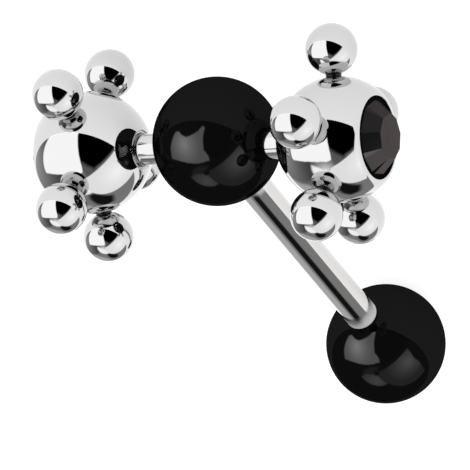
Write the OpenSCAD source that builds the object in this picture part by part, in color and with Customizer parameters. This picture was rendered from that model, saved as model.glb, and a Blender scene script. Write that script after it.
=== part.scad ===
// Tongue barbell with a cross bar: a steel rod between two black balls, and through the upper ball
// a cross bar that carries a steel ball at each end, ringed by small soldered balls and set with a gem.
// The piece is drawn about the centre of its upper ball, with the rod down -Z, the cross bar along X
// and the front towards -Y. at_rest() then lays it on its back, on the plane Z = 0.

/* [Black balls] */
// Diameter of the upper ball, which the cross bar goes through
upper_ball_d = 6; // [5.4:0.1:8]
// Diameter of the lower ball
lower_ball_d = 6; // [4:0.1:8]

/* [Rod] */
// Diameter of the rod
rod_d = 1.6; // [1.4:0.1:2]
// Bare length of the rod between its two shoulders
rod_length = 14; // [10:0.5:22]
// Depth that each shoulder of the rod is let into its ball
rod_seat = 0.1; // [0.05:0.05:0.4]
// Chamfer round each end of the rod
rod_chamfer = 0.15; // [0.05:0.05:0.15]
// Diameter of the post that goes on into each ball
post_d = 1.2; // [0.8:0.1:1.2]
// Length of the post in the lower ball
lower_post = 3; // [1.5:0.1:3.4]
// Wall left in the upper ball between the end of its post and the cross bar
post_wall = 0.3; // [0.2:0.05:0.6]

/* [Cross bar] */
// Diameter of the cross bar
bar_d = 1.5; // [1.2:0.1:1.8]
// Bare length of the cross bar on each side of the upper ball
neck_length = 0.6; // [0.4:0.1:3]
// Length of the cross bar inside each steel ball
bar_depth = 1.9; // [1:0.1:2.4]
// Distance that the cross bar passes in front of the upper ball's centre
bar_forward = 0.25; // [0:0.05:0.5]
// Distance that the middle of the cross bar lies to the left of the upper ball's centre
bar_left = 0.15; // [0:0.05:0.3]
// Chamfer round the mouth of each hole that the cross bar enters
mouth_chamfer = 0.12; // [0.05:0.01:0.2]

/* [Steel balls] */
// Diameter of each large steel ball
steel_ball_d = 5.8; // [5.2:0.1:7]
// Diameter of each small steel ball
ring_ball_d = 2.4; // [1.8:0.1:2.6]
// Number of small balls round each large one
ring_count = 5; // [4:1:6]
// Gap between a small ball and the large one, which the solder fills
ring_gap = 0.02; // [0.01:0.01:0.1]
// Diameter of the solder between a small ball and the large one
solder_d = 0.62; // [0.4:0.02:1]
// Distance that each ring of small balls lies inside the middle of its large ball
ring_inset = 0.12; // [0:0.02:0.4]
// Turn of the left ring about the cross bar, from straight up towards the back
left_turn = 10; // [0:1:20]
// Turn of the right ring about the cross bar, from straight up towards the back
right_turn = -15; // [-25:1:-5]

/* [Gems] */
// Diameter of each gem
gem_d = 3.76; // [3:0.02:3.84]
// Width of the flat steel lip round each gem
lip_width = 0.2; // [0.1:0.02:0.3]
// Height of each gem's crown, from its girdle to its table
crown_height = 0.64; // [0.3:0.02:0.9]
// Diameter of each gem's table, across its corners
table_d = 2.14; // [1.6:0.02:2.6]
// Number of large facets round the crown
crown_facets = 9; // [8:1:12]
// Turn that each narrow facet between two large ones takes up at the girdle
narrow_turn = 9; // [4:1:14]
// Height of each gem's girdle
girdle_height = 0.12; // [0.06:0.02:0.2]
// Depth of each gem below its girdle
pavilion_depth = 0.9; // [0.6:0.05:1.2]
// Diameter of the small flat at the bottom of each gem
culet_d = 0.8; // [0.4:0.1:1.6]
// Depth that each gem's girdle lies below its lip
gem_recess = 0.04; // [0.02:0.01:0.1]

/* [Fit] */
// Clearance between pieces that are fitted together
fit_gap = 0.02; // [0.01:0.01:0.04]

/* [Hidden] */
$fn = 96;

// Degrees by which each small ball was soldered off its even place round the ring
left_uneven = [0, 3, 4, -2, -8, -4];
right_uneven = [-5, 0, 2, 9, 1, 3];

upper_r = upper_ball_d / 2;
lower_r = lower_ball_d / 2;
rod_r = rod_d / 2;
post_r = post_d / 2;
bar_r = bar_d / 2;
steel_r = steel_ball_d / 2;
small_r = ring_ball_d / 2;
gem_r = gem_d / 2;
table_r = table_d / 2;
culet_r = culet_d / 2;

// Heights along the rod, from the centre of the upper ball
upper_shoulder_z = rod_seat - upper_r;
lower_shoulder_z = upper_shoulder_z - rod_length;
lower_ball_z = lower_shoulder_z + rod_seat - lower_r;
upper_post_z = -(bar_r + fit_gap + post_wall);
lower_post_z = lower_shoulder_z - lower_post;

// Distance from the middle of the cross bar to the centre of each large steel ball
end_reach = upper_r + neck_length + steel_r;
bar_centre = [-bar_left, -bar_forward, 0];
// Distance from a large steel ball's centre back to the end of the cross bar in it
bar_end = steel_r - bar_depth;
// Distance from a large steel ball's centre back to the mouth of its hole
mouth = sqrt(pow(steel_r, 2) - pow(bar_r + fit_gap, 2));
// Radius of the ring on which the small balls' centres lie
ring_r = sqrt(pow(steel_r + ring_gap + small_r, 2) - pow(ring_inset, 2));

seat_r = gem_r + fit_gap;
lip_r = seat_r + lip_width;
// Distance from a large steel ball's centre out to its lip, and to the gem's levels
lip_x = sqrt(pow(steel_r, 2) - pow(lip_r, 2));
girdle_top_x = lip_x - gem_recess;
table_x = girdle_top_x + crown_height;
culet_x = girdle_top_x - girdle_height - pavilion_depth;

// Turns of one ring's small balls, each off its even place by its own few degrees
function turns(start, uneven) =
    [for (i = [0 : ring_count - 1]) start + i * 360 / ring_count + uneven[i]];
left_turns = turns(left_turn, left_uneven);
right_turns = turns(right_turn, right_uneven);

// Centre of the large steel ball on one side, -1 for the left and 1 for the right
function steel_centre(side) = bar_centre + [side * end_reach, 0, 0];
// Centre of a small ball at one turn about the cross bar
function small_centre(side, turn) =
    steel_centre(side) + [-side * ring_inset, ring_r * sin(turn), ring_r * cos(turn)];

left_small = [for (t = left_turns) small_centre(-1, t)];
right_small = [for (t = right_turns) small_centre(1, t)];
lower_centre = [0, 0, lower_ball_z];

// The piece rests on the lower ball and one small ball of each ring. The upward normal of the plane
// that touches three balls has its product with each line between two centres equal to the
// difference of their radii. Of the pairs of small balls, the one in use leaves all others clear.
function unit(v) = v / norm(v);
function rest_normal(a, b) =
    let (u = a - lower_centre)
    let (v = b - lower_centre)
    let (w = cross(u, v))
    let (flat = (small_r - lower_r) / (w * w) * cross(v - u, w))
    let (side = w.y < 0 ? 1 : -1)
    flat + side * sqrt(1 - flat * flat) * unit(w);
function lowest(up, centres, radius) = min([for (c = centres) c * up - radius]);
function clearance(up) =
    min(lowest(up, left_small, small_r), lowest(up, right_small, small_r))
    - lowest(up, [lower_centre], lower_r);
rest_normals = [for (a = left_small) for (b = right_small)
    let (up = rest_normal(a, b)) if (clearance(up) > -0.0001) up];

rest_z = rest_normals[0];
rest_y = unit([0, 0, 1] - rest_z.z * rest_z);
rest_x = cross(rest_y, rest_z);

// Furthest reach of balls, and of a disc square to the cross bar, in one direction
function ball_reach(dir, centres, radius) = -lowest(-dir, centres, radius);
function disc_reach(dir, side, x, radius) =
    (steel_centre(side) + [side * x, 0, 0]) * dir + radius * sqrt(1 - pow(dir.x, 2));
function end_reach_of(dir, side) =
    max(disc_reach(dir, side, table_x, table_r), disc_reach(dir, side, lip_x, lip_r));
function rod_way_reach(dir) = max(
    ball_reach(dir, left_small, small_r),
    ball_reach(dir, right_small, small_r),
    ball_reach(dir, [[0, 0, 0]], upper_r),
    ball_reach(dir, [lower_centre], lower_r));

// The origin is the middle of the piece's outline on the surface
rest_shift = [
    (end_reach_of(-rest_x, -1) - end_reach_of(rest_x, 1)) / 2,
    (rod_way_reach(-rest_y) - rod_way_reach(rest_y)) / 2,
    lower_r - lower_centre * rest_z
];

module at_rest() {
    translate(rest_shift)
        multmatrix([
            [rest_x.x, rest_x.y, rest_x.z, 0],
            [rest_y.x, rest_y.y, rest_y.z, 0],
            [rest_z.x, rest_z.y, rest_z.z, 0],
            [0, 0, 0, 1]
        ])
            children();
}

// A cylinder along Z between two heights
module column(radius, from, to) {
    translate([0, 0, from])
        cylinder(r = radius, h = to - from);
}

// A cylinder along X between two distances from the middle of the cross bar
module along_bar(radius, from, to) {
    translate(bar_centre + [from, 0, 0])
        rotate([0, 90, 0])
            cylinder(r = radius, h = to - from);
}

// Puts one end's solids, drawn outwards along Z from a large ball's centre, on the cross bar
module on_end(side) {
    translate(steel_centre(side))
        rotate([0, side * 90, 0])
            children();
}

module upper_ball() {
    color([0.06, 0.06, 0.06])
        at_rest()
            difference() {
                sphere(r = upper_r);
                along_bar(bar_r + fit_gap, -end_reach, end_reach);
                column(rod_r + fit_gap, upper_shoulder_z - upper_r, upper_shoulder_z + fit_gap);
                column(post_r + fit_gap, upper_shoulder_z - upper_r, upper_post_z + fit_gap);
            }
}

module lower_ball() {
    color([0.06, 0.06, 0.06])
        at_rest()
            difference() {
                translate(lower_centre)
                    sphere(r = lower_r);
                column(rod_r + fit_gap, lower_shoulder_z - fit_gap, lower_shoulder_z + lower_r);
                column(post_r + fit_gap, lower_post_z - fit_gap, lower_shoulder_z + lower_r);
            }
}

// Half section of the rod, turned about its axis: a post, a chamfered shoulder, and the same below
module rod() {
    color([0.72, 0.73, 0.74])
        at_rest()
            rotate_extrude()
                polygon([
                    [0, upper_post_z],
                    [post_r, upper_post_z],
                    [post_r, upper_shoulder_z],
                    [rod_r - rod_chamfer, upper_shoulder_z],
                    [rod_r, upper_shoulder_z - rod_chamfer],
                    [rod_r, lower_shoulder_z + rod_chamfer],
                    [rod_r - rod_chamfer, lower_shoulder_z],
                    [post_r, lower_shoulder_z],
                    [post_r, lower_post_z],
                    [0, lower_post_z]
                ]);
}

module cross_bar() {
    color([0.8, 0.81, 0.82])
        at_rest()
            along_bar(bar_r, bar_end - end_reach, end_reach - bar_end);
}

// A small ball with the solder that joins it to the large one, at one turn about the cross bar
module soldered_ball(side, turn) {
    centre = small_centre(side, turn);
    way = centre - steel_centre(side);
    translate(centre)
        sphere(r = small_r);
    translate(steel_centre(side))
        rotate([0, acos(way.z / norm(way)), atan2(way.y, way.x)])
            translate([0, 0, steel_r / 2])
                cylinder(d = solder_d, h = norm(way) - steel_r / 2);
}

module cluster(side, ring_turns) {
    color([0.8, 0.81, 0.82])
        at_rest()
            difference() {
                union() {
                    translate(steel_centre(side))
                        sphere(r = steel_r);
                    for (t = ring_turns)
                        soldered_ball(side, t);
                }
                on_end(side) {
                    translate([0, 0, lip_x])
                        cylinder(r = steel_r, h = steel_r);
                    column(seat_r, culet_x - fit_gap, steel_r);
                    column(bar_r + fit_gap, -2 * steel_r, -bar_end + fit_gap);
                    translate([0, 0, -mouth - mouth_chamfer])
                        cylinder(
                            r1 = bar_r + fit_gap + 2 * mouth_chamfer,
                            r2 = bar_r + fit_gap,
                            h = 2 * mouth_chamfer);
                }
            }
}

module left_cluster() cluster(-1, left_turns);

module right_cluster() cluster(1, right_turns);

// Points of one level of a gem, a given number of degrees to each side of each corner
function level(z, radius, aside) = [
    for (i = [0 : crown_facets - 1])
        for (a = aside)
            let (turn = i * 360 / crown_facets + a)
            [radius * cos(turn), radius * sin(turn), z]
];

// A gem: table, large crown facets with narrow ones between them, girdle, and pavilion down to a flat
module gem(side) {
    aside = [-narrow_turn / 2, narrow_turn / 2];
    corners = concat(
        level(table_x, table_r, [0]),
        level(girdle_top_x, gem_r, aside),
        level(girdle_top_x - girdle_height, gem_r, aside),
        level(culet_x, culet_r, [0]));
    color([0.13, 0.11, 0.11])
        at_rest()
            on_end(side)
                hull()
                    polyhedron(corners, [[for (i = [0 : len(corners) - 1]) i]]);
}

module left_gem() gem(-1);

module right_gem() gem(1);

upper_ball();
lower_ball();
rod();
cross_bar();
left_cluster();
right_cluster();
left_gem();
right_gem();
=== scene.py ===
"""Tongue barbell: two black balls on a steel rod, and a cross bar through the upper ball that carries
a large steel ball at each end, ringed by five small soldered balls and set with a dark gem.

Every piece is worked out in its own frame, with the rod down -Z, the cross bar along X and the front
towards -Y, and then laid on its back at rest. Lengths are in metres.
"""

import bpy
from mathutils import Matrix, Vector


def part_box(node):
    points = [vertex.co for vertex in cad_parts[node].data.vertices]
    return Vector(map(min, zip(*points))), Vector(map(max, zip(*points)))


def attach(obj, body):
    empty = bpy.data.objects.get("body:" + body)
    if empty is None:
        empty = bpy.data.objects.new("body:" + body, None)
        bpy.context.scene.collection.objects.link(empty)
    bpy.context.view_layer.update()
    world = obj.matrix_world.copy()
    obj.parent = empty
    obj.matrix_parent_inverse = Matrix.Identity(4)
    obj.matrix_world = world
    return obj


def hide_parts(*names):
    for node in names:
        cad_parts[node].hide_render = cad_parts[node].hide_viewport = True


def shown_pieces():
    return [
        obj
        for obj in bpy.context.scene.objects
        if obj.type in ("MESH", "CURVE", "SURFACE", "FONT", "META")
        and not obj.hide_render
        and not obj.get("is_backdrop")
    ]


bl_info = {
    "name": "Tongue barbell",
    "version": (1, 0, 0),
    "blender": (4, 5, 0),
    "location": "3D View > Sidebar > Barbell",
    "description": "Makes a tongue barbell with black balls, ringed steel balls and dark gems",
    "category": "Add Mesh",
}

import math

import bpy
import numpy as np
from mathutils import Matrix

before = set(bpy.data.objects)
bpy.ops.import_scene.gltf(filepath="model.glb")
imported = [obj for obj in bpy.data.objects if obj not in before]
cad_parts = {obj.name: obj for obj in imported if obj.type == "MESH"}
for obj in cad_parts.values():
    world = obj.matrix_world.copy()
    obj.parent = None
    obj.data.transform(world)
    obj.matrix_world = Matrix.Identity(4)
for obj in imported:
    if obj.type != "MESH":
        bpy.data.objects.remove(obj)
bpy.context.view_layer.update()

MM = 0.001
# Furthest that a finished piece's box may be from its CAD node's box
BOX_TOLERANCE = 0.08 * MM
# Height within which a small ball counts as touching the plane that the piece rests on
TOUCH = 0.0001 * MM
# Smallest length that another is divided by
TINY = 1e-12
# Even steps round the large balls, round the rod and the bar, and round all else that is turned
BALL_AROUND = 192
BAR_AROUND = 128
SMALL_AROUND = 96
# Even steps along the arcs of their profiles
BLACK_BALL_STEPS = 120
STEEL_BALL_STEPS = 110
SMALL_BALL_STEPS = 60
BEND_STEPS = 24
BEAD_STEPS = 12
ROUNDING_STEPS = 10
EDGE_STEPS = 6
# Even steps along the lower edge of each facet of a gem
WIDE_STEPS = 8
NARROW_STEPS = 2
# Number of the dark solder among the two materials of a ringed ball, which also paints shade on each gem
# seat's wall
SOLDER_AND_SEAT_SHADE = 1
# Brightest reflection that can be painted into a facet, beside the table's
BRIGHTEST_PAINTED_REFLECTION = 2.0


def setting(name, description, default, **options):
    """A property of one number, or of several where the default is a tuple."""
    if isinstance(default, tuple):
        return bpy.props.FloatVectorProperty(
            name=name, description=description, default=default, size=len(default), **options)
    return bpy.props.FloatProperty(name=name, description=description, default=default, **options)


def length(name, description, millimetres):
    """A length property, given in millimetres and kept in metres."""
    return setting(name, description, millimetres * MM, min=0.0, unit="LENGTH", precision=5)


def turn(name, description, *degrees):
    """A property of one turn or of several, given in degrees and kept in radians."""
    angles = tuple(math.radians(angle) for angle in degrees)
    return setting(name, description, angles if len(angles) > 1 else angles[0], unit="ROTATION")


def share(name, description, default):
    """A property between 0 and 1."""
    return setting(name, description, default, min=0.0, max=1.0, subtype="FACTOR", precision=3)


def colour(name, description, default):
    """A colour property."""
    return setting(name, description, default, min=0.0, max=1.0, subtype="COLOR")


def brightness(name, description, default):
    """A property for how much light a thing gives off."""
    return setting(name, description, default, min=0.0, subtype="UNSIGNED")


def painted_reflection_levels(name, description, *default):
    """A property for how light each of some facets is painted beside the table, as a reflection from the
    inside.
    """
    return setting(name, description, default, min=0.0, max=BRIGHTEST_PAINTED_REFLECTION, unit="NONE")


class BarbellSizes(bpy.types.PropertyGroup):
    """Sizes of the pieces. The fine relief apart, they are the same as in the part's source."""

    upper_ball_d: length("Upper ball", "Diameter of the ball that the cross bar goes through", 6.0)
    lower_ball_d: length("Lower ball", "Diameter of the lower ball", 6.0)
    rod_d: length("Rod", "Diameter of the rod", 1.6)
    rod_length: length("Rod length", "Bare length of the rod between its two shoulders", 14.0)
    rod_seat: length("Rod seat", "Depth that each shoulder of the rod is let into its ball", 0.1)
    rod_round: length("Rod rounding", "Radius of the rounded ends of the rod", 0.2)
    bar_chamfer: length("Bar chamfer", "Chamfer round each hidden end of the cross bar", 0.075)
    post_d: length("Post", "Diameter of the post that goes on into each ball", 1.2)
    lower_post: length("Lower post", "Length of the post in the lower ball", 3.0)
    post_wall: length("Post wall", "Wall between the upper post and the cross bar", 0.3)
    bar_d: length("Cross bar", "Diameter of the cross bar", 1.5)
    neck_length: length("Neck", "Bare length of the cross bar on each side of the upper ball", 0.6)
    bar_depth: length("Bar depth", "Length of the cross bar inside each steel ball", 1.9)
    bar_forward: length("Bar forward", "Distance of the cross bar in front of the ball's centre", 0.25)
    bar_left: length("Bar left", "Distance of the cross bar's middle to the left of the centre", 0.15)
    mouth_step: length("Mouth step", "Depth of the step round the mouth of each steel hole", 0.24)
    mouth_round: length("Mouth rounding", "Radius of the outer edge of the step", 0.04)
    mouth_bead: length("Mouth bead", "Radius of the bead at the inner edge of the step", 0.04)
    steel_ball_d: length("Steel ball", "Diameter of each large steel ball", 5.8)
    ring_ball_d: length("Small ball", "Diameter of each small steel ball", 2.4)
    ring_gap: length("Ring gap", "Gap between a small ball and the large one", 0.02)
    solder_d: length("Solder", "Diameter of the solder between a small ball and the large one", 0.62)
    solder_round: length("Solder round", "Thickness of the solder that stands round each joint", 0.045)
    solder_flare: length("Solder flare", "Radius of the hollow round the solder", 0.064)
    ring_inset: length("Ring inset", "Distance of each ring inside the middle of its large ball", 0.12)
    left_turns: turn("Left ring", "Turn of each small ball on the left", 10, 85, 158, 224, 290)
    right_turns: turn("Right ring", "Turn of each small ball on the right", -20, 57, 131, 210, 274)
    gem_d: length("Gem", "Diameter of each gem", 3.76)
    lip_width: length("Lip", "Width of the steel lip round each gem", 0.2)
    lip_bend: length("Lip bend", "Radius of the bend from each large ball into the lip round its gem", 0.5)
    lip_round: length("Lip rounding", "Radius of the inner edge of the lip", 0.04)
    crown_height: length("Crown", "Height of each gem from its girdle to its table", 0.64)
    table_d: length("Table", "Diameter of each gem's table across its corners", 2.14)
    crown_facets: bpy.props.IntProperty(
        name="Crown facets", description="Number of large facets round each gem", default=9, min=8, max=12,
        subtype="UNSIGNED")
    narrow_turn: turn("Narrow facet", "Turn that each narrow facet takes up at the girdle", 9.0)
    girdle_height: length("Girdle", "Height of each gem's girdle", 0.12)
    pavilion_depth: length("Pavilion", "Depth of each gem below its girdle", 0.9)
    culet_d: length("Culet", "Diameter of the flat at the bottom of each gem", 0.8)
    gem_recess: length("Gem recess", "Depth of each gem's girdle below its lip", 0.04)
    gem_rim: length("Gem rim", "Width of the dull rim round each gem's crown", 0.18)
    rim_drop: length("Rim drop", "Depth that the dull rim falls towards its outside", 0.1)
    fit_gap: length("Fit gap", "Clearance between pieces that are fitted together", 0.02)


class BarbellFinish(bpy.types.PropertyGroup):
    """Colours and polish of the pieces."""

    black: colour("Black", "Colour below the gloss of the black balls", (0.0012, 0.0012, 0.0013))
    black_mirror: share("Black mirror", "Share of the light that a black ball mirrors", 0.0068)
    steel: colour("Steel", "Colour of the polished steel", (0.55, 0.55, 0.554))
    rod_steel: colour("Rod steel", "Colour of the drawn steel rod", (0.58, 0.57, 0.565))
    solder: colour("Solder", "Colour of the dark solder", (0.03, 0.029, 0.028))
    gem: colour("Gem", "Colour of the dark gems", (0.046, 0.038, 0.037))
    gem_mirror: share("Gem mirror", "Share of the light that a gem mirrors", 0.012)
    # Painted reflection: how much lighter or darker each facet's colour is made beside the table's
    facet_painted_reflections: painted_reflection_levels(
        "Facet tones", "Lightness of each large facet beside the table's",
        1.1, 0.5, 0.3, 0.5, 0.07, 0.0, 0.75, 1.45, 0.6)
    narrow_painted_reflections: painted_reflection_levels(
        "Narrow tones", "Lightness of each narrow facet beside the table's",
        0.3, 0.8, 0.0, 0.3, 0.25, 0.0, 0.0, 0.0, 0.0)
    girdle: colour("Girdle", "Colour of the ground edge of the gems", (0.004, 0.0035, 0.0035))


class StudioSettings(bpy.types.PropertyGroup):
    """Light, floor and camera."""

    sky: brightness("Sky", "Even light from all round, which mirrors don't show", 1.0)
    floor: colour("Floor", "Colour of the floor", (0.45, 0.45, 0.45))
    floor_glow: brightness("Floor glow", "Light that the floor gives off, as a light table does", 0.9)
    # Painted shade: the floor glows less close to the piece
    painted_shade_near_glow: share("Near glow", "Share of the floor's glow that is left close to the piece", 0.95)
    camera_azimuth: turn("Camera azimuth", "Turn of the camera from +Y towards +X", 34.44)
    camera_elevation: turn("Camera elevation", "Height of the camera above the floor", 28.93)
    camera_roll: turn("Camera roll", "Turn of the camera about its line of sight", -160.65)
    camera_distance: length("Camera distance", "Distance from the camera to the point it aims at", 183.33)
    camera_lens: setting("Lens", "Focal length in millimetres", 293.65, min=1.0, unit="CAMERA")


def unit(way):
    """A direction of length 1."""
    return way / np.linalg.norm(way)


def axes_round(axis):
    """Three directions at right angles, as rows, of which the last is the axis."""
    axis = unit(np.asarray(axis, float))
    across = unit(np.cross(np.eye(3)[np.argmin(np.abs(axis))], axis))
    return np.array([across, np.cross(axis, across), axis])


def circle(angle):
    """Points of a circle of radius 1: the cosine and the sine of each angle."""
    return np.stack([np.cos(angle), np.sin(angle)], axis=-1)


def all_round(count):
    """Even angles all the way round."""
    return np.arange(count) * (2 * math.pi / count)


def direction(azimuth, height):
    """Directions from their azimuth from +Y towards +X and their height above the floor."""
    return np.stack([
        np.sin(azimuth) * np.cos(height),
        np.cos(azimuth) * np.cos(height),
        np.sin(height),
    ], axis=-1)


def bands(grid):
    """The quads between the rows of a grid of vertex numbers, whose rows close on themselves."""
    beside = np.roll(grid, -1, axis=1)
    return np.stack([grid[:-1], grid[1:], beside[1:], beside[:-1]], axis=-1).reshape(-1, 4).tolist()


def fan(middle, row):
    """The triangles between one vertex and a row that closes on itself."""
    return np.stack([np.full(len(row), middle), row, np.roll(row, -1)], axis=1).tolist()


class Layout:
    """Places of all centres and levels, and the turn and shift that lay the piece on its back."""

    def __init__(self, sizes):
        self.sizes = sizes
        self.upper_r = sizes.upper_ball_d / 2
        self.lower_r = sizes.lower_ball_d / 2
        self.rod_r = sizes.rod_d / 2
        self.post_r = sizes.post_d / 2
        self.bar_r = sizes.bar_d / 2
        self.steel_r = sizes.steel_ball_d / 2
        self.small_r = sizes.ring_ball_d / 2
        self.gem_r = sizes.gem_d / 2
        self.upper_shoulder = sizes.rod_seat - self.upper_r
        self.lower_shoulder = self.upper_shoulder - sizes.rod_length
        self.upper_post = -(self.bar_r + sizes.fit_gap + sizes.post_wall)
        self.lower_post = self.lower_shoulder - sizes.lower_post
        self.lower_centre = np.array([0.0, 0.0, self.lower_shoulder + sizes.rod_seat - self.lower_r])
        self.end_reach = self.upper_r + sizes.neck_length + self.steel_r
        self.bar_centre = np.array([-sizes.bar_left, -sizes.bar_forward, 0.0])
        self.bar_end = self.steel_r - sizes.bar_depth
        self.ring_reach = self.steel_r + sizes.ring_gap + self.small_r
        self.ring_r = math.sqrt(self.ring_reach ** 2 - sizes.ring_inset ** 2)
        self.seat_r = self.gem_r + sizes.fit_gap
        self.lip_r = self.seat_r + sizes.lip_width
        self.lip = math.sqrt(self.steel_r ** 2 - self.lip_r ** 2)
        self.girdle = self.lip - sizes.gem_recess
        self.table = self.girdle + sizes.crown_height
        self.culet = self.girdle - sizes.girdle_height - sizes.pavilion_depth
        self.rings = {
            -1: self.small_centres(-1, sizes.left_turns),
            1: self.small_centres(1, sizes.right_turns),
        }
        self.lay_down()

    def steel_centre(self, side):
        """Centre of the large steel ball on one side, -1 for the left and 1 for the right."""
        return self.bar_centre + np.array([side * self.end_reach, 0.0, 0.0])

    def small_centres(self, side, ring):
        """Centres of one side's small balls: a circle about the cross bar, counted from +Z towards +Y."""
        angle = np.array(ring[:])
        inset = np.full(len(angle), -side * self.sizes.ring_inset)
        around = np.stack([inset, self.ring_r * np.sin(angle), self.ring_r * np.cos(angle)], axis=1)
        return self.steel_centre(side) + around

    def resting_normal(self, left, right):
        """Upward normal of the plane that touches the lower ball and two small balls from below: its
        product with each line between two centres is the difference of their radii."""
        first = left - self.lower_centre
        second = right - self.lower_centre
        square = np.cross(first, second)
        flat = (self.small_r - self.lower_r) / (square @ square) * np.cross(second - first, square)
        side = 1.0 if square[1] < 0 else -1.0
        return flat + side * math.sqrt(1 - flat @ flat) * unit(square)

    def clearance(self, up):
        """Height of the lowest small ball above the lowest point of the lower ball."""
        lowest = min((self.rings[-1] @ up).min(), (self.rings[1] @ up).min()) - self.small_r
        return lowest - (self.lower_centre @ up - self.lower_r)

    def lay_down(self):
        """Finds the pair of small balls that it rests on, which leaves all others clear of the plane."""
        normals = [self.resting_normal(left, right) for left in self.rings[-1] for right in self.rings[1]]
        resting = [up for up in normals if self.clearance(up) > -TOUCH]
        if not resting:
            raise RuntimeError("no pair of small balls carries the piece")
        rest_z = resting[0]
        rest_y = unit(np.array([0.0, 0.0, 1.0]) - rest_z[2] * rest_z)
        self.turn = np.array([np.cross(rest_y, rest_z), rest_y, rest_z])
        reach_x = [self.end_extent(side * self.turn[0], side) for side in (-1, 1)]
        reach_y = [self.ball_extent(side * self.turn[1]) for side in (-1, 1)]
        self.shift = np.array([
            (reach_x[0] - reach_x[1]) / 2,
            (reach_y[0] - reach_y[1]) / 2,
            self.lower_r - self.lower_centre @ rest_z,
        ])

    def ball_extent(self, way):
        """Furthest reach of all the balls in one direction."""
        small = max((self.rings[-1] @ way).max(), (self.rings[1] @ way).max()) + self.small_r
        return max(small, self.upper_r, self.lower_centre @ way + self.lower_r)

    def end_extent(self, way, side):
        """Furthest reach of one end's gem table and lip, which are discs square to the cross bar."""
        discs = ((self.table, self.sizes.table_d / 2), (self.lip, self.lip_r))
        tilt = math.sqrt(1 - way[0] ** 2)
        centre = self.steel_centre(side)
        return max((centre + np.array([side * out, 0, 0])) @ way + radius * tilt for out, radius in discs)

    def place(self, points):
        """Points of the piece's own frame, laid at rest."""
        return np.asarray(points, float) @ self.turn.T + self.shift

    def way(self, directions):
        """Directions of the piece's own frame, laid at rest."""
        return np.asarray(directions, float) @ self.turn.T


class Line:
    """A straight stretch of a profile. A point of a profile is (distance from the axis, height)."""

    def __init__(self, start, end, count=1, material=0):
        self.start = np.array(start, float)
        self.end = np.array(end, float)
        self.count = count
        self.material = material
        way = unit(self.end - self.start)
        self.out = np.array([-way[1], way[0]])

    def points(self):
        """Even steps from the start to the end."""
        step = np.linspace(0, 1, self.count + 1)[:, None]
        return self.start + step * (self.end - self.start)

    def skin(self, flat):
        """Distance of points from the line, and the line's outward direction."""
        return np.abs((flat - self.start) @ self.out), np.broadcast_to(self.out, flat.shape)


class Arc:
    """A round stretch of a profile, crowned when its angle falls and hollow when it grows."""

    def __init__(self, centre, radius, start, end, count, material=0):
        self.centre = np.array(centre, float)
        self.radius = radius
        self.start = start
        self.end = end
        self.count = count
        self.material = material
        self.side = 1 if start > end else -1

    def points(self):
        """Centre plus the radius times the cosine and sine of even steps of the angle."""
        angle = np.linspace(self.start, self.end, self.count + 1)
        return self.centre + self.radius * circle(angle)

    def skin(self, flat):
        """Distance of points from the circle, and its outward directions there."""
        way = flat - self.centre
        far = np.maximum(np.linalg.norm(way, axis=1), TINY)
        return np.abs(far - self.radius), self.side * way / far[:, None]


def straight(*corners):
    """Straight stretches of a profile from corner to corner."""
    return [Line(start, end) for start, end in zip(corners, corners[1:])]


class Turned:
    """A solid turned about an axis. Its profile runs from the far end of the axis round the outside
    to the near end. A hole is a solid that is cut away, so its surface faces the other way."""

    def __init__(self, profile, origin, axis, around, hole=False):
        self.profile = profile
        self.origin = np.asarray(origin, float)
        self.axes = axes_round(axis)
        self.around = around
        self.side = -1 if hole else 1

    def surface(self):
        """Vertices and faces: each profile point's distance times the cosine and sine of the turn, and
        its height along the axis. The two ends lie on the axis and close the surface with triangles."""
        rows = np.concatenate([stretch.points()[:-1] for stretch in self.profile])[1:]
        first, last = self.profile[0].points()[0], self.profile[-1].points()[-1]
        grid = np.empty((len(rows), self.around, 3))
        grid[..., :2] = rows[:, None, :1] * circle(all_round(self.around))
        grid[..., 2] = rows[:, 1:]
        local = np.concatenate([[[0, 0, first[1]]], grid.reshape(-1, 3), [[0, 0, last[1]]]])
        here = 1 + np.arange(len(rows) * self.around).reshape(len(rows), self.around)
        faces = bands(here) + fan(0, here[0]) + fan(len(local) - 1, here[-1][::-1])
        return self.origin + local @ self.axes, faces

    def skins(self, points):
        """For each stretch of the profile, the distance of the points from it and its outward normals."""
        local = (points - self.origin) @ self.axes.T
        away = np.maximum(np.hypot(local[:, 0], local[:, 1]), TINY)
        flat = np.stack([away, local[:, 2]], axis=1)
        for stretch in self.profile:
            distance, out = stretch.skin(flat)
            normal = np.column_stack([local[:, :2] * (out[:, :1] / away[:, None]), out[:, 1]])
            yield distance, self.side * normal @ self.axes


def new_object(name, vertices, faces):
    """A mesh object at the origin with its place in its mesh."""
    mesh = bpy.data.meshes.new(name)
    mesh.from_pydata(vertices.tolist(), [], faces)
    mesh.update()
    made = bpy.data.objects.new(name, mesh)
    bpy.context.scene.collection.objects.link(made)
    return made


def read(items, name, kind=np.int32, width=1):
    """One attribute of all the vertices, corners or faces of a mesh as an array."""
    values = np.empty(len(items) * width, kind)
    items.foreach_get(name, values)
    return values


def vertex_places(mesh):
    """All vertices of a mesh as an array."""
    return read(mesh.vertices, "co", float, 3).reshape(-1, 3)


def joined(base, operation, tools):
    """Unites the base with its tools, or cuts them away, and keeps the result as the base's mesh."""
    for tool in tools:
        step = base.modifiers.new(tool.name, "BOOLEAN")
        step.solver = "MANIFOLD"
        step.operation = operation
        step.object = tool
    graph = bpy.context.evaluated_depsgraph_get()
    solid = bpy.data.meshes.new_from_object(base.evaluated_get(graph))
    base.modifiers.clear()
    old = base.data
    base.data = solid
    solid.name = base.name
    bpy.data.meshes.remove(old)
    for tool in tools:
        mesh = tool.data
        bpy.data.objects.remove(tool)
        bpy.data.meshes.remove(mesh)


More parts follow.
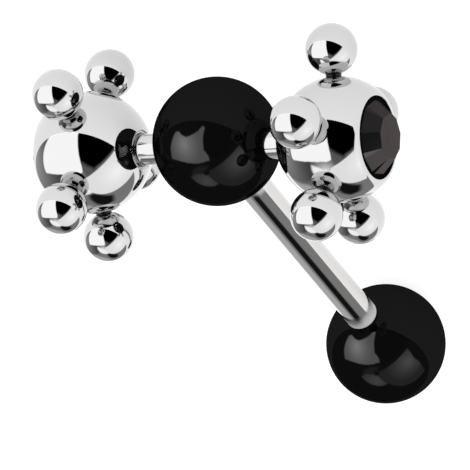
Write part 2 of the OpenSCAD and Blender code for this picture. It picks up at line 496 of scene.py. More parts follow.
def shade_true(piece, solids):
    """Gives each face the normals and the material of the turned surface that it lies on: the one that
    is nearest to the face's furthest corner. A mirror finish then reflects as a true sphere or cylinder
    would."""
    mesh = piece.data
    places = vertex_places(mesh)
    distances, normals = zip(*[skin for solid in solids for skin in solid.skins(places)])
    materials = np.array([stretch.material for solid in solids for stretch in solid.profile], np.int32)
    corners = read(mesh.loops, "vertex_index")
    starts = read(mesh.polygons, "loop_start")
    totals = read(mesh.polygons, "loop_total")
    furthest = [np.maximum.reduceat(distance[corners], starts) for distance in distances]
    nearest = np.argmin(np.stack(furthest), axis=0)
    mesh.polygons.foreach_set("material_index", materials[nearest])
    mesh.shade_smooth()
    mesh.normals_split_custom_set(np.stack(normals)[np.repeat(nearest, totals), corners])


def stand_for(piece, node, materials):
    """Makes a finished piece stand for its CAD node, once its box is seen to be the node's box. A new
    list of materials sets all faces to the first one, so pieces with two are given them afterwards."""
    places = vertex_places(piece.data)
    low, high = (np.array(corner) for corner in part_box(node))
    off = max(np.abs(places.min(axis=0) - low).max(), np.abs(places.max(axis=0) - high).max())
    if off > BOX_TOLERANCE:
        raise RuntimeError(f"{piece.name} is {off / MM:.3f} mm off the box of {node}")
    piece.data.materials.clear()
    for material in materials:
        piece.data.materials.append(material)
    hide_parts(node)
    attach(piece, "root")


def arithmetic(operation, reflected=False):
    """A method of Value for one of Python's own operators."""
    def method(self, other):
        values = (other, self) if reflected else (self, other)
        return self.maths(operation, *values)
    return method


class Value:
    """An output of a shader node that Python's own arithmetic works on."""

    def __init__(self, finish, socket):
        self.finish = finish
        self.socket = socket

    def maths(self, operation, *values):
        """The node's output from one of the Math node's operations."""
        return self.finish.node("ShaderNodeMath", {"operation": operation}, dict(enumerate(values)))

    __add__ = arithmetic("ADD")
    __radd__ = arithmetic("ADD", reflected=True)
    __sub__ = arithmetic("SUBTRACT")
    __mul__ = arithmetic("MULTIPLY")
    __rmul__ = arithmetic("MULTIPLY", reflected=True)
    __truediv__ = arithmetic("DIVIDE")
    __pow__ = arithmetic("POWER")

    def size(self):
        """The value without its sign."""
        return self.maths("ABSOLUTE", self)

    def clamped(self):
        """The value kept between 0 and 1."""
        return self.finish.node("ShaderNodeClamp", {}, {0: self, 1: 0.0, 2: 1.0})


class Finish:
    """A material that is built up node by node."""

    def __init__(self, name):
        self.material = bpy.data.materials.new(name)
        self.material.use_nodes = True
        self.tree = self.material.node_tree
        self.tree.nodes.clear()

    def node(self, kind, settings, values, output=0):
        """One new node: its settings are set first, then the values or links of its sockets."""
        made = self.tree.nodes.new(kind)
        for name, choice in settings.items():
            setattr(made, name, choice)
        for key, value in values.items():
            if isinstance(value, Value):
                self.tree.links.new(value.socket, made.inputs[key])
            else:
                made.inputs[key].default_value = value
        return Value(self, made.outputs[output])

    def places(self):
        """Object coordinates, in metres at rest."""
        return self.node("ShaderNodeTexCoord", {}, {}, "Object")

    def noise(self, scale, detail=2.0, places=None):
        """Soft noise between 0 and 1."""
        return self.node("ShaderNodeTexNoise", {}, {
            "Vector": places or self.places(), "Scale": scale, "Detail": detail, "Roughness": 0.5})

    def streaks(self, scale, rotation, detail=2.0):
        """Noise that is drawn out into streaks. The places are turned and then scaled along each axis: a
        small scale makes the streaks long that way."""
        turned = self.node("ShaderNodeMapping", {"vector_type": "TEXTURE"}, {
            "Vector": self.places(), "Rotation": rotation})
        stretched = self.node("ShaderNodeMapping", {}, {"Vector": turned, "Scale": scale})
        return self.noise(1.0, detail, stretched)

    def bump(self, height, depth):
        """A normal from a height between 0 and 1 that stands for a depth in metres."""
        return self.node("ShaderNodeBump", {}, {"Height": height, "Distance": depth, "Strength": 1.0})

    def between(self, low, high, amount):
        """A colour between two others."""
        return self.node("ShaderNodeMix", {"data_type": "RGBA"}, {0: amount, 6: low, 7: high}, 2)

    def attribute(self, name):
        """A number that the mesh keeps for each of its faces or vertices."""
        return self.node("ShaderNodeAttribute", {"attribute_name": name}, {}, "Fac")

    def principled(self, values):
        """A Principled surface."""
        return self.node("ShaderNodeBsdfPrincipled", {}, values)

    def closed(self, shader):
        """The material, with a shader joined to its output."""
        out = self.tree.nodes.new("ShaderNodeOutputMaterial")
        self.tree.links.new(shader.socket, out.inputs["Surface"])
        return self.material

    def surface(self, values):
        """The material with one Principled surface."""
        return self.closed(self.principled(values))

    def metal(self, tint, roughness, relief):
        """A metal surface, or a plain mirror where the tint is white."""
        return self.principled({
            "Base Color": tint, "Metallic": 1.0, "Roughness": roughness, "Normal": relief})


def rgba(rgb, factor=1.0):
    """A colour with its alpha, made lighter or darker."""
    return tuple(part * factor for part in rgb) + (1.0,)


def worn(least, extra, marks):
    """A roughness that rises from its least value by as much as there are marks."""
    return least + extra * marks


def glossed(make, body, mirrored, roughness, relief):
    """A faint mirror over a dull body. It mirrors the same share of the light from every side, so that
    the piece stays dark to its edge."""
    dull = make.principled({"Base Color": body, "Roughness": 0.9, "Specular IOR Level": 0.0})
    mirror = make.metal((1.0, 1.0, 1.0, 1.0), roughness, relief)
    return make.closed(make.node("ShaderNodeMixShader", {}, {0: mirrored, 1: dull, 2: mirror}))


def black_gloss(finish):
    """Glossy black with faint waves and hairlines."""
    make = Finish("glossy black")
    waves = make.noise(scale=420.0, detail=1.0)
    lines = make.streaks(scale=(2500.0, 300.0, 9000.0), rotation=(0.4, 0.7, 0.2))
    roughness = worn(least=0.03, extra=0.05, marks=lines ** 2.0)
    return glossed(make, rgba(finish.black), finish.black_mirror, roughness, make.bump(waves, depth=0.6e-6))


def mirror_steel(finish):
    """Mirror polished steel: faint waves in the polish, and fine hairlines that soften it in places."""
    make = Finish("mirror polished steel")
    waves = make.noise(scale=700.0)
    lines = make.streaks(scale=(1500.0, 12000.0, 2500.0), rotation=(0.3, 0.5, 0.9), detail=3.0)
    roughness = worn(least=0.02, extra=0.04, marks=lines ** 2.0)
    return make.closed(make.metal(rgba(finish.steel), roughness, make.bump(waves, depth=0.5e-6)))


# Width of the band at each end of the rod and of the cross bar that is satin and has a painted highlight
SATIN_AND_HIGHLIGHT_BAND = 1.2 * MM
# How much rougher the steel is at the very end, and how many times lighter its colour is painted there as a
# highlight
SATIN_ROUGHNESS = 0.8
SATIN_PAINTED_HIGHLIGHT = 1.4


def drawn_steel(name, tint, axis, middle, half):
    """Drawn and polished steel: fine lines that run along the axis of the rod or bar, and a satin band at
    each end, where the polishing stops short of the shoulder, with a highlight painted into its lighter
    colour. The distance along the axis is counted from the middle, and half is the distance from there to a
    shoulder."""
    make = Finish(name)
    across, upright, along = axes_round(axis)
    turned = Matrix([across, upright, along]).to_euler()
    lines = make.streaks(scale=(9000.0, 9000.0, 250.0), rotation=tuple(turned), detail=3.0)
    ways = {0: make.places(), 1: along}
    level = make.node("ShaderNodeVectorMath", {"operation": "DOT_PRODUCT"}, ways, "Value")
    away = (level - float(along @ middle)).size()
    satin_and_highlight = ((away - (half - SATIN_AND_HIGHLIGHT_BAND)) / SATIN_AND_HIGHLIGHT_BAND).clamped()
    # Painted highlight: the colour is made lighter in the band at each end
    tint_with_painted_highlight = make.between(rgba(tint), rgba(tint, SATIN_PAINTED_HIGHLIGHT), satin_and_highlight)
    roughness = worn(least=0.04, extra=0.06, marks=lines) + SATIN_ROUGHNESS * satin_and_highlight
    return make.closed(make.metal(tint_with_painted_highlight, roughness, make.bump(lines, depth=0.4e-6)))


def dark_solder_and_seat_shade(finish):
    """Dark solder: dull metal with a fine uneven skin, darker and lighter in places. It also paints the
    shade on the wall of each gem's seat.
    """
    make = Finish("dark solder")
    skin = make.noise(scale=9000.0, detail=3.0)
    mottled = make.between(rgba(finish.solder, factor=0.6), rgba(finish.solder, factor=1.4), skin)
    roughness = worn(least=0.2, extra=0.2, marks=skin)
    return make.closed(make.metal(mottled, roughness, make.bump(skin, depth=2e-6)))


def dark_glass(finish):
    """Smoky glass, nearly black: a reflection of what each facet shows of the inside is painted into its
    colour, with faint warm clouds and a fire-polished face."""
    make = Finish("dark smoky glass")
    clouds = make.noise(scale=900.0, detail=3.0)
    cloudiness = 0.4
    # Painted reflection of each facet, varied by the clouds
    painted_reflection = make.attribute("painted_reflection") * ((1 - cloudiness / 2) + cloudiness * clouds)
    grain = make.noise(scale=6000.0)
    body = make.between(rgba(finish.gem, 0.0), rgba(finish.gem, BRIGHTEST_PAINTED_REFLECTION), painted_reflection / BRIGHTEST_PAINTED_REFLECTION)
    roughness = worn(least=0.015, extra=0.03, marks=grain)
    return glossed(make, body, finish.gem_mirror, roughness, make.bump(grain, depth=0.1e-6))


def ground_glass(finish):
    """The ground edge of a gem, dull and black."""
    make = Finish("ground glass edge")
    grain = make.noise(scale=40000.0)
    return make.surface({
        "Base Color": rgba(finish.girdle),
        "Roughness": worn(least=0.5, extra=0.2, marks=grain),
        "Specular IOR Level": 0.0,
        "Normal": make.bump(grain, depth=2e-6),
    })


def make_black_balls(layout, finish):
    """Two black balls, each a circle turned about the rod's axis down to the rim of the rod's hole. The
    upper one has the round hole of the cross bar cut through it."""
    gap = layout.sizes.fit_gap
    down = layout.way([0, 0, -1])
    black = black_gloss(finish)
    hole_r, post_r = layout.rod_r + gap, layout.post_r + gap

    def ball(name, radius, centre, ledge, post_end, far):
        """A ball drawn along the rod: ledge and post_end are the hole's levels, measured towards the
        ball's far side from its centre."""
        outside = Arc((0, 0), radius, math.pi / 2, -math.acos(hole_r / radius), BLACK_BALL_STEPS)
        rim = (hole_r, -math.sqrt(radius ** 2 - hole_r ** 2))
        hole = straight(rim, (hole_r, ledge), (post_r, ledge), (post_r, post_end), (0, post_end))
        solid = Turned([outside] + hole, layout.place(centre), far, BALL_AROUND)
        return new_object(name, *solid.surface()), solid

    ledge, post_end = layout.upper_shoulder + gap, layout.upper_post + gap
    upper, upper_solid = ball("upper_black_ball", layout.upper_r, (0, 0, 0), ledge, post_end, -down)
    bore_r = layout.bar_r + gap
    # The tool that cuts the hole comes out of the ball on both sides
    reach = layout.upper_r + layout.sizes.neck_length
    bore_profile = straight((0, reach), (bore_r, reach), (bore_r, -reach), (0, -reach))
    across = layout.way([1, 0, 0])
    bore = Turned(bore_profile, layout.place(layout.bar_centre), across, SMALL_AROUND, hole=True)
    joined(upper, "DIFFERENCE", [new_object("bore", *bore.surface())])
    shade_true(upper, [upper_solid, bore])
    stand_for(upper, "upper_ball", [black])

    centre = layout.lower_centre
    ledge, post_end = centre[2] - (layout.lower_shoulder - gap), centre[2] - (layout.lower_post - gap)
    lower, lower_solid = ball("lower_black_ball", layout.lower_r, centre, ledge, post_end, down)
    shade_true(lower, [lower_solid])
    stand_for(lower, "lower_ball", [black])


def make_rod(layout, finish):
    """The rod: a profile of post, rounded shoulder and bare rod, the same at both ends, turned about
    its axis. Each shoulder is an arc that leaves the rod smoothly and ends at the post."""
    sizes = layout.sizes
    top, upper = layout.upper_post, layout.upper_shoulder
    lower, bottom = layout.lower_shoulder, layout.lower_post
    rod_r, post_r, rounding = layout.rod_r, layout.post_r, sizes.rod_round
    bend = math.acos(1 - (rod_r - post_r) / rounding)
    depth = rounding * math.sin(bend)
    profile = [
        *straight((0, top), (post_r, top), (post_r, upper)),
        Arc((rod_r - rounding, upper - depth), rounding, bend, 0, ROUNDING_STEPS),
        Line((rod_r, upper - depth), (rod_r, lower + depth)),
        Arc((rod_r - rounding, lower + depth), rounding, 0, -bend, ROUNDING_STEPS),
        *straight((post_r, lower), (post_r, bottom), (0, bottom)),
    ]
    along = layout.way([0, 0, 1])
    solid = Turned(profile, layout.place([0, 0, 0]), along, BAR_AROUND)
    rod = new_object("steel_rod", *solid.surface())
    shade_true(rod, [solid])
    middle = layout.place([0, 0, (upper + lower) / 2])
    steel = drawn_steel("drawn rod steel", finish.rod_steel, along, middle, sizes.rod_length / 2)
    stand_for(rod, "rod", [steel])


def make_cross_bar(layout, finish):
    """The cross bar: a straight bar with a small chamfer at each hidden end, turned about its axis."""
    half = layout.end_reach - layout.bar_end
    radius = layout.bar_r
    chamfer = layout.sizes.bar_chamfer
    profile = straight(
        (0, half), (radius - chamfer, half), (radius, half - chamfer),
        (radius, chamfer - half), (radius - chamfer, -half), (0, -half))
    solid = Turned(profile, layout.place(layout.bar_centre), layout.way([1, 0, 0]), BAR_AROUND)
    bar = new_object("steel_cross_bar", *solid.surface())
    shade_true(bar, [solid])
    middle = layout.place(layout.bar_centre)
    steel = drawn_steel("drawn bar steel", finish.steel, layout.way([1, 0, 0]), middle, half)
    stand_for(bar, "cross_bar", [steel])


def large_ball(layout, side):
    """A large steel ball, turned about the cross bar: the gem's seat, a lip that bends over from the
    ball in an arc, the ball's outside, and the cross bar's hole, with a step and a bead at its mouth. The
    wall of the seat has painted shade: it is given the dark solder's material."""
    sizes = layout.sizes
    gap = sizes.fit_gap
    seat_r = layout.seat_r
    bend, edge = sizes.lip_bend, sizes.lip_round
    # The bend touches the ball from inside where both lean by the same angle from the axis
    lean = math.acos((layout.lip - bend) / (layout.steel_r - bend))
    bend_r, bend_level = (layout.steel_r - bend) * math.sin(lean), layout.lip - bend
    lip_turn = math.acos((seat_r + edge - bend_r) / (bend - edge))
    edge_level = bend_level + (bend - edge) * math.sin(lip_turn)
    floor = layout.culet - gap
    bore_r = layout.bar_r + gap
    bore_end = -layout.bar_end + gap
    mouth = math.sqrt(layout.steel_r ** 2 - bore_r ** 2)
    # The step is a cone at 45 degrees: distance from the axis plus height is the same all along it. The
    # middle of its rounded edge is as far from the cone as it is from the ball.
    cone = bore_r - mouth + sizes.mouth_step
    rounding, bead = sizes.mouth_round, sizes.mouth_bead
    inner, reach = cone + rounding * math.sqrt(2), layout.steel_r - rounding
    rim_r = (inner + math.sqrt(2 * reach ** 2 - inner ** 2)) / 2
    rim_level = inner - rim_r
    rim_turn = math.atan2(rim_level, rim_r)
    slope = rounding / math.sqrt(2)
    bead_r = bore_r + 2 * bead
    bead_level = cone - bead_r - bead
    profile = [
        Line((0, floor), (seat_r, floor)),
        # Painted shade: the seat's wall takes the dark solder's material
        Line((seat_r, floor), (seat_r, edge_level), material=SOLDER_AND_SEAT_SHADE),
        Arc((seat_r + edge, edge_level), edge, math.pi, lip_turn, EDGE_STEPS),
        Arc((bend_r, bend_level), bend, lip_turn, math.pi / 2 - lean, BEND_STEPS),
        Arc((0, 0), layout.steel_r, math.pi / 2 - lean, rim_turn, STEEL_BALL_STEPS),
        Arc((rim_r, rim_level), rounding, rim_turn, -3 * math.pi / 4, EDGE_STEPS),
        Line((rim_r - slope, rim_level - slope), (bead_r + bead, bead_level)),
        Arc((bead_r, bead_level), bead, 0, -math.pi, BEAD_STEPS),
        *straight(
            (bead_r - bead, bead_level), (bore_r, bead_level + bead), (bore_r, bore_end), (0, bore_end)),
    ]
    return Turned(profile, layout.place(layout.steel_centre(side)), layout.way([side, 0, 0]), BALL_AROUND)


# Turn at which the hollow round the solder meets the foot inside the large ball, and how far in that
# foot goes, as a share of the large ball's radius
FOOT_TURN = math.radians(265)
FOOT_SHARE = 0.9


def small_ball(layout, side, centre):
    """A small ball with its solder, turned about the line from the large ball's centre through its own:
    the ball, then a hollow arc that runs from the ball into the large one."""
    sizes = layout.sizes
    flare = sizes.solder_flare
    reach, radius = layout.ring_reach, layout.small_r
    out = sizes.solder_d / 2 + sizes.solder_round + flare
    hollow = reach - math.sqrt((radius + flare) ** 2 - out ** 2)
    joint = math.atan2(reach - hollow, -out)
    ball_end = math.atan2(hollow - reach, out)
    foot_r, foot_level = out + flare * math.cos(FOOT_TURN), hollow + flare * math.sin(FOOT_TURN)
    foot_end = layout.steel_r * FOOT_SHARE
    profile = [
        Arc((0, reach), radius, math.pi / 2, ball_end, SMALL_BALL_STEPS),
        Arc((out, hollow), flare, joint, FOOT_TURN, ROUNDING_STEPS, material=SOLDER_AND_SEAT_SHADE),
        Line((foot_r, foot_level), (foot_r, foot_end), material=SOLDER_AND_SEAT_SHADE),
        Line((foot_r, foot_end), (0, foot_end)),
    ]
    steel_centre = layout.steel_centre(side)
    return Turned(profile, layout.place(steel_centre), layout.way(centre - steel_centre), SMALL_AROUND)


def make_clusters(layout, finish):
    """Each large steel ball united with its ring of small balls and their solder."""
    materials = [mirror_steel(finish), dark_solder_and_seat_shade(finish)]
    for side, name in ((-1, "left"), (1, "right")):
        large = large_ball(layout, side)
        small = [small_ball(layout, side, centre) for centre in layout.rings[side]]
        piece = new_object(f"{name}_ringed_ball", *large.surface())
        tools = [new_object(f"small_{place}", *solid.surface()) for place, solid in enumerate(small)]
        joined(piece, "UNION", tools)
        stand_for(piece, f"{name}_cluster", materials)
        shade_true(piece, [large] + small)


def gem_surface(layout, side):
    """Vertices, faces and material numbers of a gem, drawn outwards from the large ball's centre: the
    flat table, large and narrow crown facets with straight lower edges, a round ground girdle that
    stands a little outside them, and a plain pavilion."""
    sizes = layout.sizes
    count = sizes.crown_facets
    step = 2 * math.pi / count
    narrow = sizes.narrow_turn / 2
    wide = np.linspace(narrow, step - narrow, WIDE_STEPS, endpoint=False)
    thin = np.linspace(-narrow, narrow, NARROW_STEPS, endpoint=False)
    one = np.concatenate([thin, wide])
    corner = all_round(count)
    angle = (corner[:, None] + one).ravel()
    chord = np.where(
        one < narrow,
        math.cos(narrow) / np.cos(one),
        math.cos(step / 2 - narrow) / np.cos(one - step / 2))
    crown_r = (layout.gem_r - sizes.gem_rim) * np.tile(chord, count)
    ring = circle(angle)

    def level(radius, height, directions):
        """Points at one height, each at its radius in its direction."""
        flat = directions * np.broadcast_to(radius, len(directions))[:, None]
        return np.column_stack([flat, np.full(len(directions), height)])

    below = layout.girdle - sizes.girdle_height
    vertices = np.concatenate([
        level(sizes.table_d / 2, layout.table, circle(corner)),
        level(crown_r, layout.girdle, ring),
        level(layout.gem_r, layout.girdle - sizes.rim_drop, ring),
        level(layout.gem_r, below, ring),
        level(sizes.culet_d / 2, layout.culet, ring),
    ])
    per, total = len(one), len(angle)
    crown = count + np.arange(total)
    faces = [list(range(count))]
    for place in range(count):
        start = place * per
        after = (place + 1) % count
        narrow_edge = crown[start:start + len(thin) + 1].tolist()
        wide_edge = np.take(crown, range(start + len(thin), start + per + 1), mode="wrap").tolist()
        faces.append([place] + narrow_edge)
        faces.append([place] + wide_edge + [after])
    shiny = len(faces)
    here = np.arange(count, len(vertices)).reshape(-1, total)
    faces += bands(here)
    faces.append(here[-1][::-1].tolist())
    axes = np.array([[0, 0, -side], [0, 1, 0], [side, 0, 0]])
    placed = layout.place(layout.steel_centre(side) + vertices @ axes)
    dull = np.arange(len(faces)) >= shiny
    return placed, faces, dull.astype(np.int32)


def make_gems(layout, finish):
    """The two gems, with flat facets and a ground girdle, and a reflection painted into each facet."""
    materials = [dark_glass(finish), ground_glass(finish)]
    for side, name in ((-1, "left"), (1, "right")):
        vertices, faces, dull = gem_surface(layout, side)
        gem = new_object(f"{name}_dark_gem", vertices, faces)
        stand_for(gem, f"{name}_gem", materials)
        gem.data.polygons.foreach_set("material_index", dull)
        # The table comes first, and then a narrow and a large facet by turns
        # Painted reflection for each face: 1 for the table and the rest, the finish's levels for the crown
        painted_levels = np.ones(len(faces))
        crown = np.stack([finish.narrow_painted_reflections[:], finish.facet_painted_reflections[:]], axis=1)
        count = 2 * layout.sizes.crown_facets
        painted_levels[1:1 + count] = np.resize(crown, count)
        gem.data.attributes.new("painted_reflection", "FLOAT", "FACE").data.foreach_set("value", painted_levels)


def flattened(directions):
    """Directions, as azimuth from +Y towards +X and height in degrees, laid flat round the zenith: each
    as far from the middle as it is from the zenith."""
    azimuth, far = np.radians(directions[..., 0]), 90 - directions[..., 1]
    return np.stack([far * np.sin(azimuth), far * np.cos(azimuth)], axis=-1)


# Even steps along each side of a patch's outline
SIDE_STEPS = 12
# How sharply the brightness falls away from a patch's brightest direction
HOT_POWER = 1.5


class Patch:
    """A patch of one brightness in the room that the polished pieces mirror, such as a light panel. It
    may be brighter round one direction, and its edge is soft."""

    def __init__(self, outline, level, soft=2.5, hot=(0.0, 90.0), extra=0.0, spread=40.0):
        corners = np.array(outline, float)
        way = np.roll(corners, -1, axis=0) - corners
        way[:, 0] = (way[:, 0] + 180) % 360 - 180
        step = np.linspace(0, 1, SIDE_STEPS, endpoint=False)[:, None]
        self.edge = flattened((corners[:, None] + step * way[:, None]).reshape(-1, 2))
        self.level = level
        self.soft = soft
        self.hot = flattened(np.array(hot))
        self.extra = extra
        self.spread = spread

    def share(self, flat):
        """How much of the patch shows in each direction: its distance from the nearest stretch of the
        outline, outside counted as negative, over the width of the soft edge, eased at both ends."""
        after = np.roll(self.edge, -1, axis=0)
        along = after - self.edge
        way = flat[:, None] - self.edge
        reach = np.clip((way * along).sum(axis=2) / (along * along).sum(axis=1), 0, 1)
        distance = np.linalg.norm(way - reach[..., None] * along, axis=2).min(axis=1)
        height = flat[:, None, 1]
        crossed = (self.edge[:, 1] > height) != (after[:, 1] > height)
        slope = along[:, 0] / np.where(along[:, 1] == 0, 1, along[:, 1])
        beyond = flat[:, None, 0] < self.edge[:, 0] + (height - self.edge[:, 1]) * slope
        inside = (crossed & beyond).sum(axis=1) % 2 == 1
        ramp = np.clip(np.where(inside, distance, -distance) / self.soft + 0.5, 0, 1)
        return ramp * ramp * (3 - 2 * ramp)

    def over(self, glow, flat):
        """The room's brightness in each direction with this patch in front of it."""
        away = np.linalg.norm(flat - self.hot, axis=1)
        level = self.level + self.extra * np.clip(1 - away / self.spread, 0, 1) ** HOT_POWER
        shown = self.share(flat)
        return glow * (1 - shown) + level * shown


# Height in degrees at which the rooms begin, a little below the horizon so that no gap shows there
ROOM_FOOT = -2


def make_room(name, patches, radius, mirrors):
    """The room that some pieces mirror: half a sphere round the piece, which gives off each direction's
    brightness. Nothing else sees it, and it throws no light or shade on the floor."""
    azimuth = np.arange(0, 360, 1.0)
    height = np.arange(ROOM_FOOT, 90, 1.0)
    grid = np.stack(np.meshgrid(azimuth, height), axis=-1)
    directions = np.concatenate([grid.reshape(-1, 2), [[0.0, 90.0]]])
    vertices = radius * direction(*np.radians(directions.T))
    here = np.arange(grid.shape[0] * grid.shape[1]).reshape(grid.shape[:2])
    room = new_object(name, vertices, bands(here) + fan(len(vertices) - 1, here[-1]))
    flat = flattened(directions)
    glow = np.zeros(len(flat))
    for patch in patches:
        glow = patch.over(glow, flat)
    room.data.attributes.new("glow", "FLOAT", "POINT").data.foreach_set("value", glow)
    make = Finish(name)
    light = make.node("ShaderNodeEmission", {}, {"Strength": make.attribute("glow")})
    clear = make.node("ShaderNodeBsdfTransparent", {}, {})
    room.data.materials.append(make.closed(make.node("ShaderNodeAddShader", {}, {0: light, 1: clear})))
    room.visible_camera = False
    room.visible_diffuse = False
    room.visible_shadow = False
    seen_by = bpy.data.collections.new(name)
    for piece in mirrors:
        seen_by.objects.link(piece)
    room.light_linking.receiver_collection = seen_by
    room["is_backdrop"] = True


# The room as the steel mirrors it: grey walls, panels on the left, on the right and behind, and a
# dark doorway in front, where the camera stands. Directions are azimuth from +Y towards +X and height.
WALLS = [(0, -60), (90, -60), (180, -60), (270, -60)]
BRIGHT_ROOM = (
    Patch(WALLS, level=0.3, hot=(-90, 86), extra=0.95, spread=22),
    Patch([(197, -9), (198, 30), (212, 38), (230, 30), (236, -9)], level=0.6, soft=8),
    Patch(
        [(232, -9), (232, 64), (294, 64), (302, -9)],
        level=0.08, soft=12, hot=(262, -25), extra=0.75, spread=88),
    Patch(
        [(160, 30), (162, 52), (168, 60), (184, 60), (189, 50), (189, 32), (186, 20), (176, 18)],
        level=0.01, soft=8),
    Patch([(10, 50), (20, 66), (50, 75), (72, 77), (80, 50)], level=0.16, soft=9),
    Patch(
        [(-5, -9), (-5, 40), (5, 46), (15, 52), (40, 56), (62, 55), (68, 40), (71, 20), (75, -9)],
        level=0.0, soft=10),
    Patch(
        [(150, 63), (185, 62), (240, 62), (285, 62), (288, 75), (270, 86), (180, 86), (150, 80)],
        level=1.55, soft=6),
    Patch(
        [(-92, 28), (-84, 40), (-76, 50), (-62, 61), (-45, 69), (-20, 73), (0, 75), (18, 73), (28, 70),
         (24, 64), (16, 53), (10, 40), (6, 25), (2, 5), (2, -9), (-48, -9), (-55, 0), (-65, 7), (-80, 18),
         (-90, 25)],
        level=1.65),
    Patch(
        [(76, -9), (74, 20), (71, 50), (68, 70), (60, 87), (172, 88), (168, 65), (161, 50), (152, 35),
         (143, 20), (134, 0), (133, -9)],
        level=1.32, hot=(108, 28), extra=0.3, spread=42),
)
# The room as the black balls and the gems mirror it, in which the panels are stronger and smaller
DARK_ROOM = (
    Patch(WALLS, level=0.42),
    Patch([(-5, -9), (-5, 40), (15, 58), (62, 59), (70, 20), (73, -9)], level=0.3, soft=5),
    Patch([(240, 62), (300, 73), (360, 79), (390, 76), (390, 86), (240, 86)], level=1.5, soft=7),
    Patch(
        [(165, 62), (180, 60), (250, 61), (262, 72), (255, 84), (165, 84)],
        level=1.6, soft=5, hot=(198, 70), extra=5.6, spread=44),
    Patch(
        [(-82, 32), (-72, 46), (-60, 59), (-45, 67), (-28, 71), (0, 72), (31, 67), (24, 60), (8, 50),
         (5, 30), (6, 12), (2, 9), (-5, 18), (-12, 22), (-22, 25), (-30, 25), (-38, 20), (-44, 12),
         (-50, 11), (-60, 17), (-70, 23)],
        level=10.0, soft=3, hot=(-38, 34), extra=16.0, spread=38),
    Patch(
        [(76, 17), (75, 40), (74, 85), (162, 85), (163, 60), (158, 35), (150, 20), (140, 8), (130, 12),
         (115, 15), (100, 20), (90, 19)],
        level=2.0, soft=3, hot=(98, 31), extra=7.0, spread=46),
)


# Distance from the piece at which the floor's glow is whole, past the shade painted into it, the floor's
# radius,
# # and its rings of points
FLOOR_SHADE_REACH = 60 * MM
FLOOR_R = 3.0
FLOOR_RINGS = 12


def make_floor(settings):
    """A wide pale floor: rings of points whose distance from the middle grows evenly. Its glow is dimmer
    close to the piece, as painted shade.
    """
    distance = np.linspace(0, FLOOR_R, FLOOR_RINGS + 1)[1:]
    grid = np.zeros((FLOOR_RINGS, SMALL_AROUND, 3))
    grid[..., :2] = distance[:, None, None] * circle(all_round(SMALL_AROUND))
    vertices = np.concatenate([[[0, 0, 0]], grid.reshape(-1, 3)])
    here = 1 + np.arange(FLOOR_RINGS * SMALL_AROUND).reshape(FLOOR_RINGS, SMALL_AROUND)
    floor = new_object("floor", vertices, fan(0, here[0]) + bands(here))
    make = Finish("pale floor")
    # Painted shade: the glow falls to the near share close to the piece and is whole past the reach
    away = make.node("ShaderNodeVectorMath", {"operation": "LENGTH"}, {0: make.places()}, "Value")
    far = (away / FLOOR_SHADE_REACH).clamped()
    near = settings.painted_shade_near_glow
    floor.data.materials.append(make.surface({
        "Base Color": rgba(settings.floor),
        "Roughness": 1.0,
        "Specular IOR Level": 0.0,
        "Emission Color": (1.0, 1.0, 1.0, 1.0),
        "Emission Strength": settings.floor_glow * (near + (1 - near) * far),
    }))
    floor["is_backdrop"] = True


# Radii of the two rooms, which don't touch each other
BRIGHT_ROOM_R = 1.0
DARK_ROOM_R = 1.05


def make_studio(settings):
    """Floor, even light, the rooms that the pieces mirror, and camera."""
    dark = [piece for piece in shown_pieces() if "black" in piece.name or "dark" in piece.name]
    bright = [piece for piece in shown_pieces() if piece not in dark]
    make_room("bright room", BRIGHT_ROOM, BRIGHT_ROOM_R, bright)
    make_room("dark room", DARK_ROOM, DARK_ROOM_R, dark)
    make_floor(settings)
    world = bpy.data.worlds.new("even light")
    world.use_nodes = True
    sky = world.node_tree.nodes["Background"].inputs
    sky["Color"].default_value = (1.0, 1.0, 1.0, 1.0)
    sky["Strength"].default_value = settings.sky
    world.cycles_visibility.glossy = False
    bpy.context.scene.world = world
    make_camera(settings)
    bpy.context.scene.view_settings.view_transform = "Standard"


# Point that the camera aims at
CAMERA_AIM = np.array([-2.1013, 1.5674, 5.0113]) * MM


def make_camera(settings):
    """A camera at its azimuth and elevation about the point that it aims at, rolled about its line of
    sight because the piece is shown the other way up."""
    back = direction(settings.camera_azimuth, settings.camera_elevation)
    level = unit(np.cross([0, 0, 1], back))
    upright = np.cross(back, level)
    roll = settings.camera_roll
    right = math.cos(roll) * level + math.sin(roll) * upright
    top = np.cross(back, right)
    camera = bpy.data.objects.new("camera", bpy.data.cameras.new("camera"))
    camera.data.lens = settings.camera_lens
    camera.data.sensor_width = 36.0
    camera.data.clip_start = 10 * MM
    camera.data.clip_end = 10.0
    place = Matrix([list(row) for row in np.column_stack([right, top, back])]).to_4x4()
    place.translation = CAMERA_AIM + settings.camera_distance * back
    camera.matrix_world = place
    bpy.context.scene.collection.objects.link(camera)
    bpy.context.scene.camera = camera


def made_from(context, make):
    """Makes some pieces from the scene's sizes and finish."""
    make(Layout(context.scene.barbell_sizes), context.scene.barbell_finish)
    return {"FINISHED"}


class BARBELL_OT_black_balls(bpy.types.Operator):
    """Makes the two black balls"""

    bl_idname = "barbell.black_balls"
    bl_label = "Black Balls"

    def execute(self, context):
        return made_from(context, make_black_balls)


class BARBELL_OT_rod(bpy.types.Operator):
    """Makes the steel rod"""

    bl_idname = "barbell.rod"
    bl_label = "Rod"

    def execute(self, context):
        return made_from(context, make_rod)


class BARBELL_OT_cross_bar(bpy.types.Operator):
    """Makes the steel cross bar"""

    bl_idname = "barbell.cross_bar"
    bl_label = "Cross Bar"

    def execute(self, context):
        return made_from(context, make_cross_bar)


class BARBELL_OT_clusters(bpy.types.Operator):
    """Makes the two large steel balls with their rings of small ones"""

    bl_idname = "barbell.clusters"
    bl_label = "Ringed Steel Balls"

    def execute(self, context):
        return made_from(context, make_clusters)


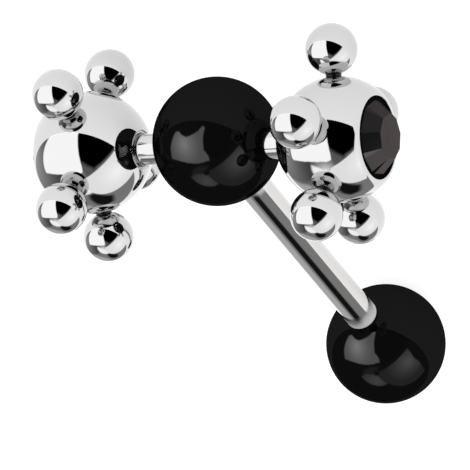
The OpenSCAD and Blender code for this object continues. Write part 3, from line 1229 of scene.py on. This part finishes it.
class BARBELL_OT_gems(bpy.types.Operator):
    """Makes the two dark gems"""

    bl_idname = "barbell.gems"
    bl_label = "Gems"

    def execute(self, context):
        return made_from(context, make_gems)


class BARBELL_OT_studio(bpy.types.Operator):
    """Makes the floor, the light and the camera"""

    bl_idname = "barbell.studio"
    bl_label = "Studio"

    def execute(self, context):
        make_studio(context.scene.barbell_studio)
        return {"FINISHED"}


OPERATORS = (
    BARBELL_OT_black_balls,
    BARBELL_OT_rod,
    BARBELL_OT_cross_bar,
    BARBELL_OT_clusters,
    BARBELL_OT_gems,
    BARBELL_OT_studio,
)


class BARBELL_PT_panel(bpy.types.Panel):
    """Lists the barbell's pieces and its studio"""

    bl_idname = "BARBELL_PT_panel"
    bl_label = "Tongue Barbell"
    bl_space_type = "VIEW_3D"
    bl_region_type = "UI"
    bl_category = "Barbell"

    def draw(self, context):
        for operator in OPERATORS:
            self.layout.operator(operator.bl_idname)
        scene = context.scene
        for group in (scene.barbell_sizes, scene.barbell_finish, scene.barbell_studio):
            box = self.layout.box()
            for name in group.bl_rna.properties.keys():
                if name not in {"rna_type", "name"}:
                    box.prop(group, name)


CLASSES = (BarbellSizes, BarbellFinish, StudioSettings) + OPERATORS + (BARBELL_PT_panel,)


def register():
    """Registers the classes and gives the scene its settings."""
    for group in CLASSES:
        bpy.utils.register_class(group)
    bpy.types.Scene.barbell_sizes = bpy.props.PointerProperty(type=BarbellSizes)
    bpy.types.Scene.barbell_finish = bpy.props.PointerProperty(type=BarbellFinish)
    bpy.types.Scene.barbell_studio = bpy.props.PointerProperty(type=StudioSettings)


def unregister():
    """Takes away what register added."""
    del bpy.types.Scene.barbell_studio
    del bpy.types.Scene.barbell_finish
    del bpy.types.Scene.barbell_sizes
    for group in reversed(CLASSES):
        bpy.utils.unregister_class(group)


def main():
    """Makes every piece and the studio."""
    register()
    bpy.ops.barbell.black_balls()
    bpy.ops.barbell.rod()
    bpy.ops.barbell.cross_bar()
    bpy.ops.barbell.clusters()
    bpy.ops.barbell.gems()
    bpy.ops.barbell.studio()


if __name__ == "__main__":
    main()
